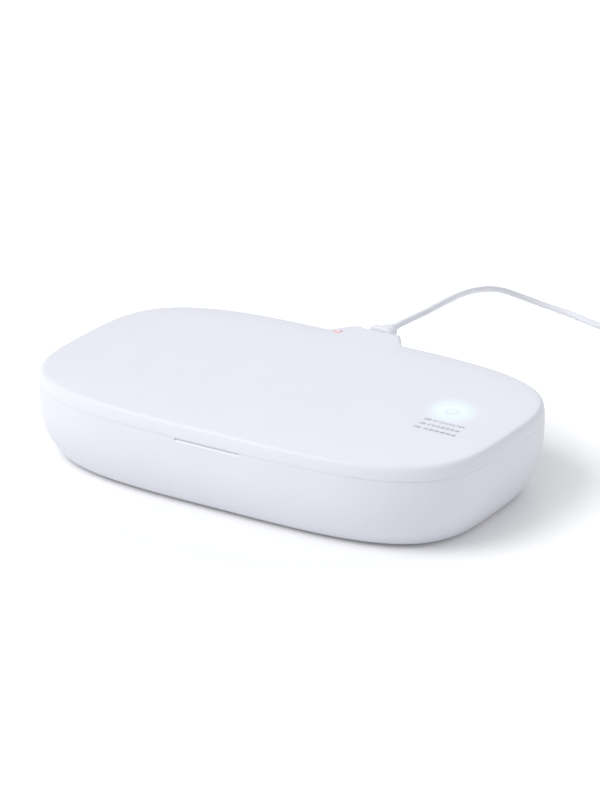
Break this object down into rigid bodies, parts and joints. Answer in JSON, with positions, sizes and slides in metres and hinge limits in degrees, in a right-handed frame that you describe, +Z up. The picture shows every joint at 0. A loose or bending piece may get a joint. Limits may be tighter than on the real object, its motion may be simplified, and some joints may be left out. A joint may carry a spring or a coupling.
{
  "type": "uv sanitizer box",
  "caption": "White flat rounded box with a hinged lid for disinfecting a phone with ultraviolet light: round lit button, charging pad in the lid, rear power cord.",
  "frame": {"origin": "middle of the footprint of the box and its hinge tail, on the surface that the feet stand on, cord left out", "axes": "+X to the right, the side with the button; +Y to the back, where the hinge and the cord are; +Z up"},
  "size_m": [0.2319, 0.2995, 0.0424],
  "materials": {
    "white_shell": "satin moulded ABS",
    "liner_white": "matt moulded ABS",
    "reflector": "bright reflective sheet",
    "clear_rail": "clear moulding",
    "window_glass": "clear quartz window",
    "circuit_board": "solder mask",
    "led_package": "clear lens",
    "steel": "zinc plated",
    "magnet_nickel": "nickel plated",
    "plug_steel": "drawn and plated",
    "component_black": "moulded package",
    "ferrite": "sintered ferrite",
    "copper_wire": "enamelled winding",
    "wire_black": "insulated lead",
    "foot_rubber": "moulded silicone",
    "seal_rubber": "moulded silicone",
    "status_pink": "translucent light pipe",
    "button_white": "translucent cap",
    "cord_white": "soft jacket",
    "tie_grey": "woven strap"
  },
  "bodies": {
    "base": {"base_shell": "white_shell", "rear_block": "white_shell", "chamber_liner": "liner_white", "floor_reflector": "reflector", "support_rails": "clear_rail", "base_window": "window_glass", "base_led_board": "circuit_board", "base_uv_leds": "led_package", "base_led_screws": "steel", "main_board": "circuit_board", "main_board_parts": "component_black", "board_screws": "steel", "socket_board": "circuit_board", "usb_socket": "plug_steel", "power_lead": "wire_black", "hinge_pins": "steel", "base_screws": "steel", "feet": "foot_rubber", "base_magnets": "magnet_nickel", "lid_sensor": "circuit_board", "light_seal": "seal_rubber", "plug_tip": "plug_steel", "plug_body": "cord_white", "cord_run": "cord_white", "cord_coil": "cord_white", "cord_end": "cord_white", "cord_tie": "tie_grey", "charger_plug_body": "cord_white", "charger_plug_shell": "plug_steel"},
    "lid": {"lid_shell": "white_shell", "lid_liner": "liner_white", "lid_reflector": "reflector", "lid_window": "window_glass", "lid_led_board": "circuit_board", "lid_uv_leds": "led_package", "lid_led_screws": "steel", "charging_coil": "copper_wire", "coil_ferrite": "ferrite", "charger_board": "circuit_board", "charger_parts": "component_black", "button_board": "circuit_board", "button_leds": "led_package", "tact_switch": "component_black", "light_ring": "clear_rail", "status_light": "status_pink", "status_board": "circuit_board", "lid_magnets": "magnet_nickel", "lid_screws": "steel"},
    "button": {"button_cap": "button_white"}
  },
  "joints": [
    {"name": "lid_hinge", "type": "hinge", "parent": "base", "child": "lid", "pos_m": [0, 0.0681, 0.0375], "axis": [-1, 0, 0], "range_deg": [0, 105]},
    {"name": "button_press", "type": "slide", "parent": "lid", "child": "button", "axis": [0, 0, -1], "range_m": [0, 0.00045], "stiffness_N_per_m": 2000, "springref_m": -0.0001}
  ]
}
